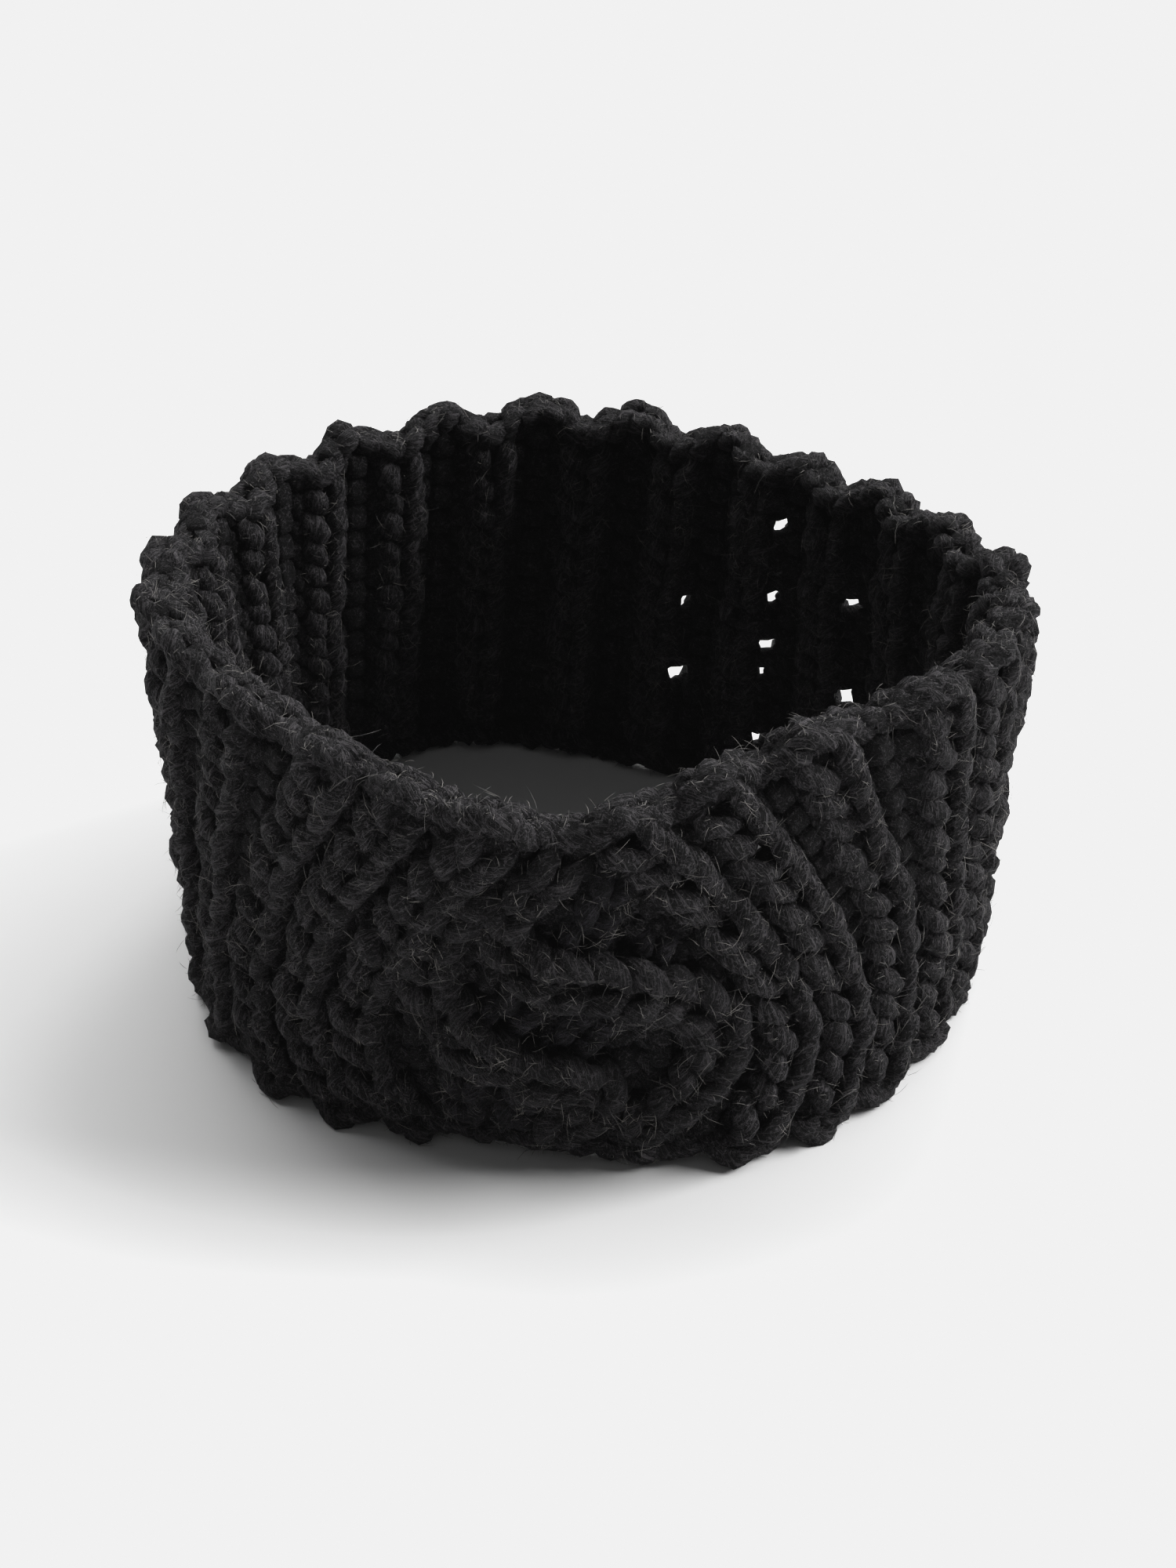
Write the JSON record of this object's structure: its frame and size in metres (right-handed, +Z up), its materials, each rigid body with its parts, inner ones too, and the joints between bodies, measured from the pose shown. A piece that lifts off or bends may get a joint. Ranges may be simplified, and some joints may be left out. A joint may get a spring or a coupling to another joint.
{
  "type": "ear warmer headband",
  "caption": "Closed band of thick ribbed wool knit, worn round the head over the ears, with a cable crossing at the front where the neighbouring ribs bow round it.",
  "frame": {"origin": "the middle of the band's box, on the surface that its foot edge stands on", "axes": "+Z up along the ribs, -Y out of the cable at the front, +X to the right as the cable is faced"},
  "size_m": [0.1999, 0.1885, 0.0995],
  "materials": {
    "rib_wool": "matte, fuzzy wool",
    "shaded_wool": "matte, fuzzy wool",
    "cable_wool": "matte, fuzzy wool"
  },
  "bodies": {
    "root": {"ribbed_band": "rib_wool", "cable_rib_under_left": "shaded_wool", "cable_rib_under_right": "shaded_wool", "cable_rib_over_upper": "cable_wool", "cable_rib_over_lower": "cable_wool"}
  },
  "joints": []
}
